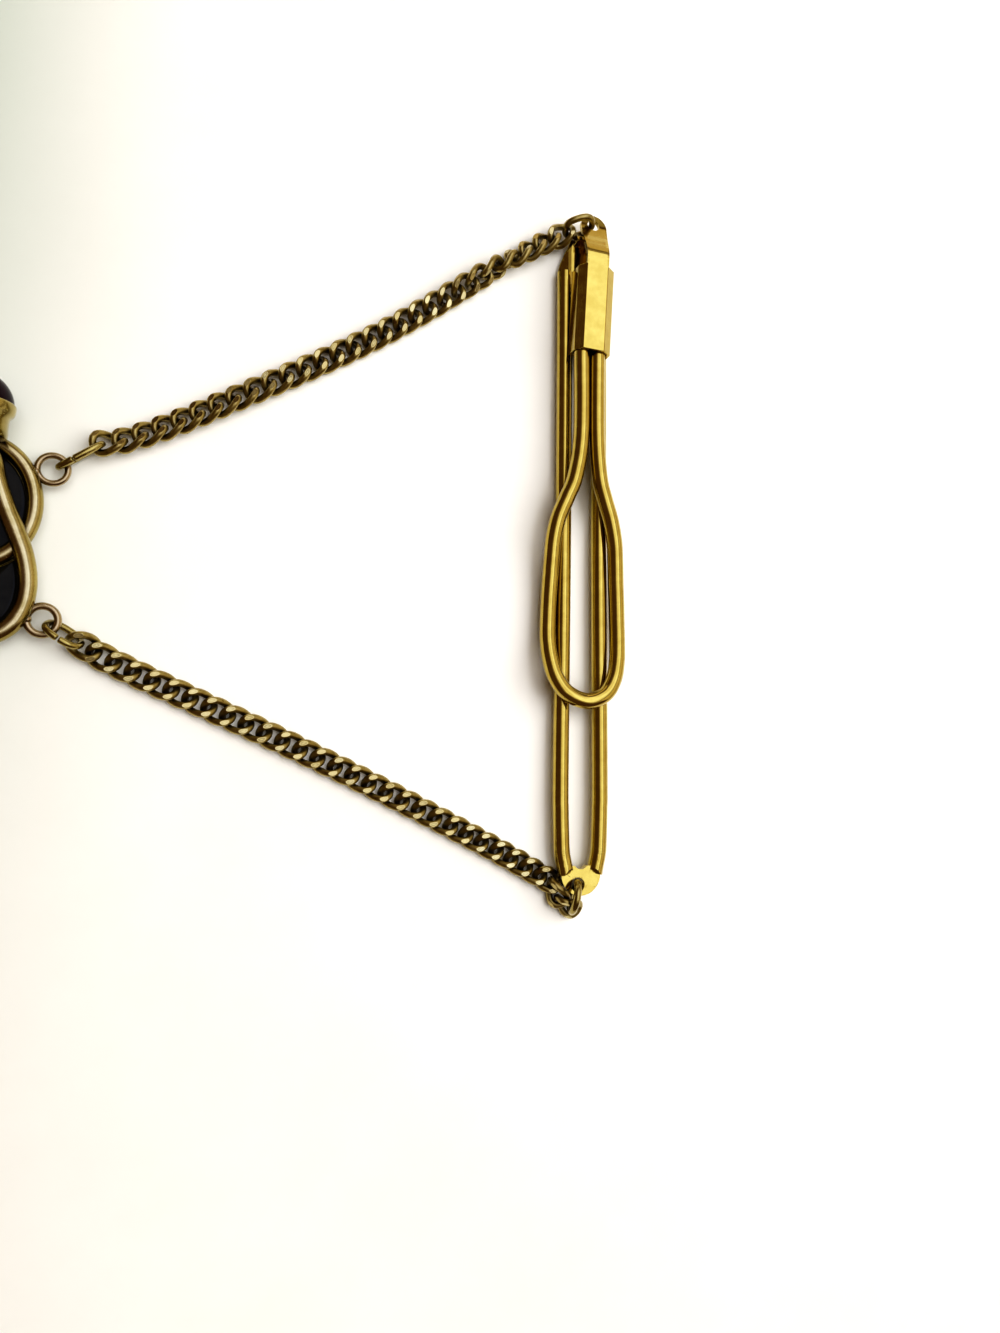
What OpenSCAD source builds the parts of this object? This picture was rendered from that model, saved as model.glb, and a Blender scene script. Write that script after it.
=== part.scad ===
// Tie bar: a two-wire spring clip with a chain-hung knot ornament, lying on a flat surface.
// Clip along Y, ornament at the left (-X), face up (+Z), surface at z = 0. Millimetres.

/* [Clip] */
// Diameter of the round wire of both clip loops
clip_wire = 1.45; // [1.40:0.01:1.50]
// Height by which the disc end of the clip is held up by the ring under it
disc_lift = 0.465; // [0.40:0.01:0.50]
// Diameter of the hole in the disc
disc_hole = 1.28; // [1.24:0.01:1.32]
// Diameter of the hole in the tongue
tongue_hole = 1.16; // [1.10:0.01:1.18]
// Angle by which the sleeve and its wires lean to the right
ferrule_lean = 3; // [2.8:0.1:3.2]

/* [Chains] */
// Diameter of the wire of a chain link
link_wire = 0.58; // [0.54:0.01:0.60]
// Length of a link along the middle of its wire
link_length = 2.38; // [2.36:0.01:2.40]
// Width of a link along the middle of its wire
link_width = 1.66; // [1.64:0.01:1.68]
// Height of the twist of a link on either side of its plane
link_twist = 0.46; // [0.45:0.01:0.48]
// Thickness to which both faces of a link are filed flat
link_flat = 1.20; // [1.16:0.01:1.24]

/* [Rings] */
// Diameter of the wire of the round ring in the disc
jump_wire = 0.62; // [0.56:0.01:0.64]
// Diameter of that ring at the middle of its wire
jump_ring_size = 2.52; // [2.48:0.01:2.56]
// Diameter of the wire of the oval rings
oval_wire = 0.54; // [0.50:0.01:0.56]

/* [Ornament] */
// Wire diameter of the round loop of the knot
round_wire = 1.25; // [1.15:0.05:1.30]
// Wire diameter of the pear-shaped loop of the knot
pear_wire = 1.40; // [1.30:0.05:1.45]
// Diameter of the rim of the stone cup
cup_size = 5.10; // [5.00:0.02:5.12]
// Diameter of the gold ball on the knot
boss_size = 3.00; // [2.80:0.05:3.10]

/* [Hidden] */
$fn = 64;
bright_gold = "gold";
aged_brass = "darkgoldenrod";
black_stone = "black";

// The layout is drawn with the disc's hole at Y = 0 and moved so that the origin is below its middle
layout_middle = [-24.804, 29.03];
module place() translate([-layout_middle.x, -layout_middle.y, 0]) children();

// Curves and swept wires
function unit(v) = v / norm(v);
function wrap(i, n) = (i + n) % n;
function clamp(x, low, high) = max(low, min(high, x));
function between(a, b, c, d, t) =
    0.5 * (2 * b + (c - a) * t + (2 * a - 5 * b + 4 * c - d) * t * t + (3 * b - a - 3 * c + d) * t * t * t);
function smooth_closed(pts, steps) =
    let (n = len(pts))
    [for (i = [0 : n - 1], k = [0 : steps - 1])
        between(pts[wrap(i - 1, n)], pts[i], pts[wrap(i + 1, n)], pts[wrap(i + 2, n)], k / steps)];
function smooth_open(pts, steps) =
    let (n = len(pts))
    concat([for (i = [0 : n - 2], k = [0 : steps - 1])
        between(pts[max(i - 1, 0)], pts[i], pts[i + 1], pts[min(i + 2, n - 1)], k / steps)],
        [pts[n - 1]]);
function tangent(path, i, closed) =
    let (n = len(path))
    closed ? unit(path[wrap(i + 1, n)] - path[wrap(i - 1, n)])
           : unit(path[min(i + 1, n - 1)] - path[max(i - 1, 0)]);
function sweep_points(path, radius, sides, up, closed) =
    [for (i = [0 : len(path) - 1])
        let (t = tangent(path, i, closed), side = unit(cross(up, t)), top = cross(t, side))
        for (k = [0 : sides - 1])
            path[i] + radius * (cos(360 * k / sides) * side + sin(360 * k / sides) * top)];
function band_faces(i, j, sides) =
    [for (k = [0 : sides - 1])
        let (a = i * sides + k, b = i * sides + wrap(k + 1, sides),
             c = j * sides + wrap(k + 1, sides), d = j * sides + k)
        for (face = [[a, d, c], [a, c, b]]) face];
function sweep_faces(n, sides, closed) =
    concat([for (i = [0 : n - (closed ? 1 : 2)]) for (face = band_faces(i, wrap(i + 1, n), sides)) face],
        closed ? [] : [[for (k = [0 : sides - 1]) k], [for (k = [sides - 1 : -1 : 0]) (n - 1) * sides + k]]);
module wire(path, diameter, sides, up, closed)
    polyhedron(sweep_points(path, diameter / 2, sides, up, closed), sweep_faces(len(path), sides, closed));
function mirrored(side_points, middle_x) =
    let (n = len(side_points))
    concat([for (p = side_points) [middle_x + p.x, p.y, p.z]],
        [for (i = [n - 2 : -1 : 1]) let (p = side_points[i]) [middle_x - p.x, p.y, p.z]]);

// The clip rests on its top end and on the ring under its disc
clip_pivot = [0, 56, 0];
module clip_pose()
    place()
    translate(clip_pivot)
    rotate([-asin(disc_lift / clip_pivot.y), 0, -0.195])
    translate(-clip_pivot)
    children();

// Back loop: two legs joined by a flat holed disc below and a flattened, folded end above
wire_axis = clip_wire / 2;
// Columns: half distance of the legs, Y
leg_line = [[1.35, 0.9], [1.5, 1.65], [1.7, 2.6], [1.77, 3.6], [1.85, 6.5], [1.87, 10], [1.73, 31], [1.68, 55.8]];
leg_shift = -0.03;
disc_middle = [-0.08, 0.85];
disc_radius = 1.83;
disc_low = 0.33;
disc_high = 1.10;
disc_slot_radius = 0.68;
disc_slot_end = 1.75;
disc_hole_place = [-0.38, -0.02];
bevel_corner = [1.8, 0.22];
bevel_turn = 48;
// Right half of the flattened end seen from above, columns: X, Y
end_outline = [[2.4, 54.6], [2.35, 55.6], [2.2, 56.4], [1.85, 57.4], [1.55, 58.1], [1.2, 58.95]];
end_low = 0.35;
end_high = 1.10;
fold_wall = [[58.35, 0.4], [58.95, 0.4], [58.95, 1.95], [58.35, 2.25]];

module leg(side)
    wire([for (p = leg_line) [leg_shift + side * p.x, p.y, wire_axis]], clip_wire, 12, [0, 0, 1], false);
module disc()
    difference() {
        union() {
            translate([disc_middle.x, disc_middle.y, disc_low])
                cylinder(r = disc_radius, h = disc_high - disc_low);
            translate([disc_middle.x - 1.6, disc_middle.y, disc_low])
                cube([3.2, 1.4, disc_high - disc_low]);
        }
        translate([disc_middle.x, disc_slot_end, 0])
            cylinder(r = disc_slot_radius, h = 3);
        translate([disc_middle.x - disc_slot_radius, disc_slot_end, 0])
            cube([2 * disc_slot_radius, 3, 3]);
    }
// What lies past a sloping line on the leg is filed down to the disc's face
module bevel_cut(side)
    translate([disc_middle.x + side * bevel_corner.x, bevel_corner.y, disc_high])
    rotate([0, 0, -side * bevel_turn])
    for (slope = [0, -45])
        rotate([slope, 0, 0])
        translate([-4, -4, 0])
        cube([8, 4, 3]);
module flattened_end()
    translate([0, 0, end_low])
    linear_extrude(end_high - end_low)
    polygon(concat(end_outline, [for (i = [len(end_outline) - 1 : -1 : 0]) [-end_outline[i].x, end_outline[i].y]]));
module back_loop()
    color(bright_gold)
    clip_pose()
    difference() {
        union() {
            difference() {
                union() {
                    leg(1);
                    leg(-1);
                    disc();
                }
                for (side = [1, -1]) {
                    bevel_cut(side);
                    translate([0, 0, disc_low + disc_high]) mirror([0, 0, 1]) bevel_cut(side);
                }
            }
            flattened_end();
            translate([-1, 0, 0])
                rotate([90, 0, 90])
                linear_extrude(2)
                polygon(fold_wall);
        }
        translate([disc_hole_place.x, disc_hole_place.y, -1])
            cylinder(d = disc_hole, h = 4);
    }

// Front loop: two legs side by side in the sleeve that part and turn round in a loop
front_top = 55.2;
ferrule_base = [-0.05, 47.5];
// Columns: Y, half distance of the legs, height above the back loop's axis, lean to the right
front_line = [[47.2, 0.75, 2.0, -0.06], [40, 0.75, 2.0, -0.07], [36.2, 1.185, 1.78, -0.12],
              [34.2, 1.855, 1.6, -0.18], [32.4, 2.53, 1.42, -0.22], [30.6, 2.93, 1.12, -0.15],
              [28.8, 3.08, 0.83, -0.08], [26.9, 3.18, 0.62, -0.05], [25.2, 3.27, 0.5, -0.03],
              [23.4, 3.33, 0.46, -0.03], [21.6, 3.35, 0.55, -0.05], [19.8, 3.2, 0.9, -0.08],
              [18.1, 2.75, 1.35, -0.13], [16.75, 1.75, 1.56, -0.08]];
front_tip = [-0.05, 16.1, 1.6];
front_leg_top = ferrule_base.x + (front_top - ferrule_base.y) * tan(ferrule_lean);
function front_side(side) =
    [for (p = front_line) [p[3] + side * p[1], p[0], wire_axis + p[2]]];
front_path = let (right = front_side(1), left = front_side(-1), n = len(right))
    concat([[front_leg_top + 0.75, front_top, wire_axis + 2.0]],
        smooth_open(concat(right, [[front_tip.x, front_tip.y, wire_axis + front_tip.z]],
                           [for (i = [n - 1 : -1 : 0]) left[i]]), 2),
        [[front_leg_top - 0.75, front_top, wire_axis + 2.0]]);
module front_loop()
    color(bright_gold)
    clip_pose()
    wire(front_path, clip_wire, 10, [0, 0, 1], false);

// Ferrule: folded sleeve with a flat face and bevels, whose top runs out into a sloping holed tongue
ferrule_length = 8;
// Section across the sleeve, columns: X, Z
ferrule_section = [[-1.62, 1.6], [-1.62, 2.95], [-1.02, 3.75], [1.0, 3.75], [1.85, 3.05], [1.85, 1.6]];
ferrule_bore = 1.54;
wire_height = 2.725;
// Top line of the tongue seen from the side, columns: Y above the sleeve's start, Z
tongue_line = [[7.9, 3.75], [9.0, 3.72], [9.6, 3.55], [10.5, 3.05], [11.5, 2.5], [12.5, 2.1], [13.7, 1.85]];
tongue_thick = 0.38;
tongue_end = 12.4;
tongue_radius = 1.25;
tongue_hole_place = [-0.05, 12.58];
module sleeve()
    difference() {
        rotate([90, 0, 0])
            mirror([0, 0, 1])
            linear_extrude(ferrule_length)
            polygon(ferrule_section);
        for (x = [-0.75, 0.75])
            translate([x, -1, wire_height])
            rotate([-90, 0, 0])
            cylinder(d = ferrule_bore, h = ferrule_length + 2);
        translate([-0.75, -1, wire_height - ferrule_bore / 2])
            cube([1.5, ferrule_length + 2, ferrule_bore]);
    }
module tongue()
    intersection() {
        translate([-2, 0, 0])
            rotate([90, 0, 90])
            linear_extrude(4)
            polygon(concat(tongue_line,
                [for (i = [len(tongue_line) - 1 : -1 : 0]) tongue_line[i] - [0.1, tongue_thick]]));
        union() {
            translate([0, tongue_end, 0])
                cylinder(r = tongue_radius, h = 6);
            linear_extrude(6)
                polygon([[-1.02, 7.8], [-1.08, 8.2], [-1.12, 9.8], [-tongue_radius, tongue_end],
                         [tongue_radius, tongue_end], [1.12, 9.8], [1.08, 8.2], [1.0, 7.8]]);
        }
    }
module ferrule()
    color(bright_gold)
    clip_pose()
    translate([ferrule_base.x, ferrule_base.y, 0])
    rotate([0, 0, -ferrule_lean])
    difference() {
        union() {
            sleeve();
            tongue();
        }
        translate([tongue_hole_place.x, tongue_hole_place.y, 0])
            cylinder(d = tongue_hole, h = 6);
    }

// Curb links: an oval of wire twisted so that two opposite quarters stand high, filed flat on both faces
link_segments = 14;
link_sides = 6;
link_path = [for (k = [0 : link_segments - 1])
    let (t = 360 * k / link_segments)
    [link_length / 2 * cos(t), link_width / 2 * sin(t), -link_twist * sin(2 * t)]];
link_points = [for (p = sweep_points(link_path, link_wire / 2, link_sides, [0, 0, 1], true))
    [p.x, p.y, clamp(p.z, -link_flat / 2, link_flat / 2)]];
function link_low(roll) = min([for (p = link_points) p.y * sin(roll) + p.z * cos(roll)]);
module link() polyhedron(link_points, sweep_faces(link_segments, link_sides, true));
module link_at(middle, heading, rise, roll)
    translate(middle)
    rotate([0, 0, heading])
    rotate([0, -rise, 0])
    rotate([roll, 0, 0])
    link();
// A run of links is walked from its first link: each step has its own heading and length
function walk(p, i, last, headings, steps) =
    i > last ? [] :
    concat([p], walk(p + lookup(i, steps) * [cos(lookup(i, headings)), sin(lookup(i, headings))],
                     i + 1, last, headings, steps));
// A rolled link stands on its edge as high as it must and leans to the left by a share of that height
floor_gap = 0.01;
lean_share = 0.4;
module chain_run(start, first, last, headings, steps, rolls, rises) {
    middles = walk(start, first, last, headings, steps);
    for (i = [first : last]) {
        roll = lookup(i, rolls);
        height = floor_gap - link_low(roll) + lookup(i, rises);
        lean = lean_share * (height - link_flat / 2);
        heading = (lookup(i, headings) + lookup(i - 1, headings)) / 2;
        link_at([middles[i - first].x - lean, middles[i - first].y, height], heading, 0, roll);
    }
}
module single_links(links) for (s = links) link_at(s[0], s[1], s[2], s[3]);

// Upper chain, links 1 to 29 from the ornament to the tongue; columns: link number, value
upper_start = [-38.445, 36.322];
upper_last = 28;
upper_headings = [[1, 19.8], [2, 24.1], [3, 26.8], [4, 28.6], [6, 30.2], [11, 30.8], [14, 32.1],
                  [17, 34.4], [20, 36.3], [22, 36.1], [24, 34], [26, 33], [29, 35]];
upper_steps = [[21, 1.6], [22, 1.58], [23, 1.555], [25, 1.555], [26, 1.56], [27, 1.6]];
upper_rolls = [[0, -28], [7, -22], [11, -8], [14, 0], [17, 0], [20, 10], [22, 22], [23, 36], [24, 64],
               [25, 102], [26, 130], [27, 144], [28, 152], [29, 160]];
upper_rises = [[25, 0], [29, 0.3]];
// Links that hang otherwise at its two ends, columns: place of the middle, heading, rise, roll
upper_ends = [[[-40.151, 35.822, 1.052], 16.42, -10.805, -24.285],
              [[-2.288, 59.194, 1.21], 39.3, 4.3, 172.4]];
module chain_upper()
    color(aged_brass)
    place() {
        chain_run(upper_start, 2, upper_last, upper_headings, upper_steps, upper_rolls, upper_rises);
        single_links(upper_ends);
    }

// Lower chain, links 0 to 29 from the ornament to the ring in the disc
lower_start = [-39.954, 18.837];
lower_last = 26;
lower_headings = [[0, -28.5], [1, -26.7], [3, -24.6], [8, -24.6], [16, -26.9], [22, -27.9], [25, -29.8],
                  [26, -31]];
lower_steps = [[19, 1.6], [20, 1.552]];
lower_rolls = [[0, 0]];
lower_rises = [[24, 0], [26, 0.1]];
// The first link, the last beside the disc and the two slack ones under it
lower_ends = [[[-41.357, 19.69, 0.905], -27.6, -17.3, 8.2],
              [[-3.091, 0.45, 0.659], -33.62, -3.72, 0.75],
              [[-2.4, -0.653, 1.062], -67, -2.38, 59.24],
              [[-1.298, -1.821, 1.004], -35.28, -13.26, 53.36]];
module chain_lower()
    color(aged_brass)
    place() {
        chain_run(lower_start, 1, lower_last, lower_headings, lower_steps, lower_rolls, lower_rises);
        single_links(lower_ends);
    }

// Rings and oval links that join the parts
function oval_path(middle, along, across, half_length, half_width, from, to, count) =
    let (u = unit(along), v = unit(across - u * (u * across)))
    [for (k = [0 : count])
        let (t = from + (to - from) * k / count, c = cos(t), s = sin(t))
        middle + half_length * sign(c) * pow(abs(c), 0.8) * u + half_width * sign(s) * pow(abs(s), 0.8) * v];
module oval_ring(middle, along, across, half_length, half_width) {
    path = oval_path(middle, along, across, half_length, half_width, 0, 360 - 360 / 26, 25);
    wire(path, oval_wire, 8, cross(along, across), true);
}
module open_oval_ring(middle, along, across, half_length, half_width, gap_at, gap_turn) {
    path = oval_path(middle, along, across, half_length, half_width,
                     gap_at + gap_turn / 2, gap_at + 360 - gap_turn / 2, 24);
    wire(path, oval_wire, 8, cross(along, across), false);
}
module end_link()
    color(aged_brass)
    place()
    oval_ring([-0.791, 59.855, 1.848], [0.918, 0.306, 0.254], [-0.358, 0.357, 0.863], 1.3, 0.9);
// The round ring stands nearly upright, its wire through the disc's hole and on the surface
jump_ring_middle = [-0.911, -1.033, 1.55];
jump_ring_tip = 10.93;
jump_ring_turn = 12.08;
module jump_ring()
    color(aged_brass)
    place()
    translate(jump_ring_middle)
    rotate([0, 90 - jump_ring_tip, -jump_ring_turn])
    rotate_extrude()
    translate([jump_ring_size / 2, 0])
    circle(d = jump_wire, $fn = 24);
module connector_upper()
    color(aged_brass)
    place()
    open_oval_ring([-42.13, 34.566, 1.081], [0.831, 0.553, 0.065], [0.083, -0.238, 0.968], 1.85, 0.825, 103, 9);
module connector_lower()
    color(aged_brass)
    place()
    open_oval_ring([-42.78, 20.48, 1.31], [0.84, -0.54, 0], [-0.27, -0.42, 0.86], 1.396, 0.947, 90, 9);

// Ornament: a round loop with a pear-shaped loop knotted over it, a cup above and a ball below
knot_x = -49.05;
knot_height = 1.15;
round_middle = [knot_x, 30.45];
round_half = [3.86, 4.62];
// Right half of the pear-shaped loop, columns: distance from the middle line, Y, Z
pear_line = [[0, 34.4, 2.05], [0.95, 33.55, 2.15], [1.45, 31.7, 2.25], [2.14, 29.7, 2.3], [2.84, 28.03, 2.2],
             [3.33, 26.65, 1.9], [3.605, 25.2, 1.6], [3.645, 23.75, 1.5], [3.35, 22.28, 1.5],
             [2.63, 21.03, 1.5], [1.52, 20.27, 1.5], [0, 19.975, 1.5]];
cell_height = 0.85;
cell_inset = 0.2;
cup_axis_z = cup_size / 2 + 0.01;
// Half profile of the cup, columns: radius, Y
cup_profile = [[0, 34.9], [2.05, 34.9], [2.1, 36.5], [2.5, 36.85], [cup_size / 2, 37.4], [2.47, 37.5],
               [2.44, 37.5], [2.44, 36.9], [0, 36.9]];
bead_radius = 2.4;
bead_middle = 37.5;
bead_base = 36.94;
eye_wire = 0.52;
eye_radius = 1.13;
eye_upper = [-44.08, 33.31, 1.0];
eye_lower = [-44.3, 21.5, 1.3];
boss_height = 2.3;
boss_y = 25;
function ellipse_points(half, from, to, count) =
    [for (k = [0 : count - 1])
        let (t = from + (to - from) * k / count)
        [round_middle.x + half.x * cos(t), round_middle.y + half.y * sin(t)]];
function inset(path, depth) =
    [for (i = [0 : len(path) - 1])
        let (t = tangent(path, i, true), side = unit([t.y, -t.x]))
        [path[i].x + depth * side.x, path[i].y + depth * side.y]];
round_path = [for (p = ellipse_points(round_half, 0, 360, 28)) [p.x, p.y, knot_height]];
pear_path = smooth_closed(mirrored(pear_line, knot_x), 2);
module along_y() translate([knot_x, 0, cup_axis_z]) rotate([-90, 0, 0]) children();
module eye(middle)
    translate(middle)
    rotate_extrude()
    translate([eye_radius, 0])
    circle(d = eye_wire, $fn = 24);
module ornament()
    color(aged_brass)
    place() {
        wire(round_path, round_wire, 10, [0, 0, 1], true);
        wire(pear_path, pear_wire, 10, [0, 0, 1], true);
        linear_extrude(cell_height) polygon(ellipse_points(round_half - [cell_inset, cell_inset], 0, 360, 30));
        linear_extrude(cell_height) polygon(inset(pear_path, cell_inset));
        along_y() rotate_extrude() polygon(cup_profile);
        translate([knot_x, boss_y, boss_height]) sphere(d = boss_size);
        eye(eye_upper);
        eye(eye_lower);
    }

// Stones: low domes inside the two loops and a round stone in the cup
stone_gap = 0.05;
stone_base = cell_height + stone_gap;
stone_edge = 1.05;
stone_shoulder = 1.2;
stone_top = 1.3;
// The lower stone fills the pear-shaped loop below the round one
round_outer = round_half + [1, 1] * (round_wire / 2 + 2 * stone_gap);
function outside_round(p) = norm([(p.x - round_middle.x) / round_outer.x, (p.y - round_middle.y) / round_outer.y]) > 1;
pear_inside = [for (p = inset(pear_path, pear_wire / 2 + stone_gap)) if (outside_round(p)) p];
round_angle = atan2((pear_inside[0].y - round_middle.y) / round_outer.y,
                    (pear_inside[0].x - round_middle.x) / round_outer.x);
lower_outline = concat(pear_inside, ellipse_points(round_outer, -180 - round_angle + 6, round_angle, 9));
upper_outline = ellipse_points(round_half - [1, 1] * (round_wire / 2 + stone_gap), 0, -360, 28);
module domed(outline, middle) {
    n = len(outline);
    shoulder = [for (p = outline) middle + 0.6 * (p - middle)];
    points = concat([for (p = outline) [p.x, p.y, stone_base]], [for (p = outline) [p.x, p.y, stone_edge]],
                    [for (p = shoulder) [p.x, p.y, stone_shoulder]], [[middle.x, middle.y, stone_top]]);
    walls = [for (ring = [0, n], k = [0 : n - 1])
        let (a = ring + k, b = ring + wrap(k + 1, n))
        for (face = [[a, b, b + n], [a, b + n, a + n]]) face];
    cap = [for (k = [0 : n - 1]) [2 * n + k, 2 * n + wrap(k + 1, n), 3 * n]];
    polyhedron(points, concat(walls, cap, [[for (k = [n - 1 : -1 : 0]) k]]));
}
module stone_upper()
    color(black_stone)
    place()
    domed(upper_outline, round_middle);
module stone_lower()
    color(black_stone)
    place()
    difference() {
        domed(lower_outline, [knot_x, 22.8]);
        translate([knot_x, boss_y, 0]) cylinder(r = boss_size / 2 - 0.1, h = 3);
    }
module bead()
    color(black_stone)
    place()
    along_y()
    rotate_extrude()
    intersection() {
        translate([0, bead_middle]) circle(r = bead_radius);
        translate([0, bead_base]) square([3, 4]);
    }

back_loop();
front_loop();
ferrule();
end_link();
chain_upper();
chain_lower();
jump_ring();
connector_upper();
connector_lower();
ornament();
stone_upper();
stone_lower();
bead();
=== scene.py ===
"""Tie bar with two curb chains and a knot ornament, lying on a plain pale surface."""
import math

import bmesh
import bpy
import numpy as np
from mathutils import Matrix, Vector
from mathutils.bvhtree import BVHTree


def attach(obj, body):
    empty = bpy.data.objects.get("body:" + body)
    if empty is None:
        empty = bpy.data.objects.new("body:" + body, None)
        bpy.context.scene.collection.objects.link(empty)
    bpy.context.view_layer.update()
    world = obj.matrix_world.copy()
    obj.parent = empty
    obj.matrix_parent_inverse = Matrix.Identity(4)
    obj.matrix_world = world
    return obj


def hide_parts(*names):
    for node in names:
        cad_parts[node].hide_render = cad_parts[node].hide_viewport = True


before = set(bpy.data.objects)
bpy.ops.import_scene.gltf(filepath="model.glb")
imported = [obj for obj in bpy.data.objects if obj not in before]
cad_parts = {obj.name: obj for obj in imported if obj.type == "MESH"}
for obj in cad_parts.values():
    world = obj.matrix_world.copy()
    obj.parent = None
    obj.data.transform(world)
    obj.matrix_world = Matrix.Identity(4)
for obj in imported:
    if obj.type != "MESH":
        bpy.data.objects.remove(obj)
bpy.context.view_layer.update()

# The layout is drawn in millimetres with the disc's hole at Y = 0, as the part's source draws it
LAYOUT_MIDDLE = np.array([-24.804, 29.03, 0.0])
MM = 0.001
rng = np.random.default_rng(7)


def row(points):
    """Layout millimetres to metres in the row frame."""
    return (np.asarray(points, float) - LAYOUT_MIDDLE) * MM


def unit(v):
    v = np.asarray(v, float)
    return v / np.linalg.norm(v)


def turn_x(degrees):
    a = math.radians(degrees)
    return np.array([[1, 0, 0], [0, math.cos(a), -math.sin(a)], [0, math.sin(a), math.cos(a)]])


def turn_y(degrees):
    a = math.radians(degrees)
    return np.array([[math.cos(a), 0, math.sin(a)], [0, 1, 0], [-math.sin(a), 0, math.cos(a)]])


def turn_z(degrees):
    a = math.radians(degrees)
    return np.array([[math.cos(a), -math.sin(a), 0], [math.sin(a), math.cos(a), 0], [0, 0, 1]])


# The clip leans on the jump ring under its disc, so it slopes a little about its upper end
DISC_LIFT = 0.465
CLIP_PIVOT = np.array([0.0, 56.0, 0.0])
CLIP_SWING = -0.195
CLIP_SLOPE = -math.degrees(math.asin(DISC_LIFT / CLIP_PIVOT[1]))
CLIP_TURN = turn_z(CLIP_SWING) @ turn_x(CLIP_SLOPE)


def clip_pose(points):
    """The clip as it lies, from the clip drawn straight and level."""
    return (np.asarray(points, float) - CLIP_PIVOT) @ CLIP_TURN.T + CLIP_PIVOT


# Camera
EYE = (-31.152, 13.324, 78.417)
EYE_TURN = turn_z(0.542018) @ turn_y(-16.869024) @ turn_x(3.904134)
FOCAL_PIXELS, PICTURE_PIXELS = 924, 1333
FILM = 36


def photo_camera():
    """The photograph's own view, with the focal length given over the picture's height."""
    data = bpy.data.cameras.new("photo_camera")
    data.sensor_width = FILM
    data.lens = FILM * FOCAL_PIXELS / PICTURE_PIXELS
    data.clip_start, data.clip_end = 0.001, 10
    cam = bpy.data.objects.new("photo_camera", data)
    bpy.context.scene.collection.objects.link(cam)
    cam.matrix_world = Matrix.Translation(Vector(row(EYE))) @ Matrix(EYE_TURN.tolist()).to_4x4()
    bpy.context.scene.camera = cam


photo_camera()


# Curves and meshes
def catmull(points, steps, closed=False):
    """A smooth line through the points, with so many steps between two of them."""
    p = np.asarray(points, float)
    n = len(p)
    out = []
    for i in range(n if closed else n - 1):
        a = p[(i - 1) % n] if closed else p[max(i - 1, 0)]
        b, c = p[i], p[(i + 1) % n]
        d = p[(i + 2) % n] if closed else p[min(i + 2, n - 1)]
        for k in range(steps):
            t = k / steps
            out.append(0.5 * (2 * b + (c - a) * t + (2 * a - 5 * b + 4 * c - d) * t * t
                              + (3 * b - a - 3 * c + d) * t ** 3))
    if not closed:
        out.append(p[-1])
    return np.array(out)


ROUND_END_STEPS = np.linspace(0.15, 1, 6)
ROUND_END_LENGTH = 0.5
ROUND_END_LAST = 0.985


def round_end(tip, before, radius):
    """Middles and radii that close a wire with a low round end."""
    way = unit(tip - before)
    return [(tip + way * radius * (ROUND_END_LENGTH * math.sin(s * math.pi / 2)),
             radius * math.sqrt(1 - (ROUND_END_LAST * s) ** 2)) for s in ROUND_END_STEPS]


def circle_line(radius, count):
    t = 2 * np.pi * np.arange(count) / count
    return np.c_[radius * np.cos(t), radius * np.sin(t), 0 * t]


def sweep(path, radius, sides, up=(0, 0, 1), closed=False, round_ends=False):
    """Points and faces of a round wire along a line."""
    p = np.asarray(path, float)
    r = np.full(len(p), float(radius))
    if round_ends:
        head, tail = round_end(p[0], p[1], r[0])[::-1], round_end(p[-1], p[-2], r[-1])
        p = np.array([e[0] for e in head] + list(p) + [e[0] for e in tail])
        r = np.array([e[1] for e in head] + list(r) + [e[1] for e in tail])
    n = len(p)
    tan = np.roll(p, -1, 0) - np.roll(p, 1, 0) if closed else np.gradient(p, axis=0)
    tan /= np.linalg.norm(tan, axis=1)[:, None]
    side = np.cross(np.asarray(up, float), tan)
    side /= np.linalg.norm(side, axis=1)[:, None]
    top = np.cross(tan, side)
    a = 2 * np.pi * np.arange(sides) / sides
    v = p[:, None] + r[:, None, None] * (np.cos(a)[None, :, None] * side[:, None]
                                         + np.sin(a)[None, :, None] * top[:, None])
    faces = []
    for i in range(n if closed else n - 1):
        j = (i + 1) % n
        for k in range(sides):
            m = (k + 1) % sides
            faces.append((i * sides + k, i * sides + m, j * sides + m, j * sides + k))
    if not closed:
        faces.append(tuple(range(sides - 1, -1, -1)))
        faces.append(tuple((n - 1) * sides + k for k in range(sides)))
    return v.reshape(-1, 3), faces


# A turned form stays this far from its axis, so that no face there has lost its width
AXIS_RADIUS = 1e-4


def lathe(profile, axis_at, axis_turn, segments):
    """Turned form; profile is (radius, along) pairs, about local Z before axis_turn."""
    a = 2 * np.pi * np.arange(segments) / segments
    v, faces = [], []
    for r, h in profile:
        r = max(r, AXIS_RADIUS)
        v += [(r * math.cos(t), r * math.sin(t), h) for t in a]
    for i in range(len(profile) - 1):
        for k in range(segments):
            m = (k + 1) % segments
            faces.append((i * segments + k, i * segments + m, (i + 1) * segments + m, (i + 1) * segments + k))
    return np.array(v) @ axis_turn.T + np.asarray(axis_at, float), faces


class Parts:
    """Collects the shells of one piece."""

    def __init__(self):
        self.v, self.f, self.n = [], [], 0
        self.attributes = {}

    def add(self, v, f, **values):
        v = np.asarray(v, float)
        self.v.append(v)
        self.f += [tuple(i + self.n for i in face) for face in f]
        for name in set(self.attributes) | set(values):
            old = self.attributes.setdefault(name, [np.zeros(self.n)])
            x = values.get(name, 0.0)
            old.append(np.full(len(v), x) if np.isscalar(x) else np.asarray(x, float))
        self.n += len(v)
        return self


SHARP_ANGLE = math.radians(35)
FLAT_ANGLE = 0.01
WIDE_RATIO = 25
DICED_RATIO, DICED_AREA = 8, 5e-8


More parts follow.
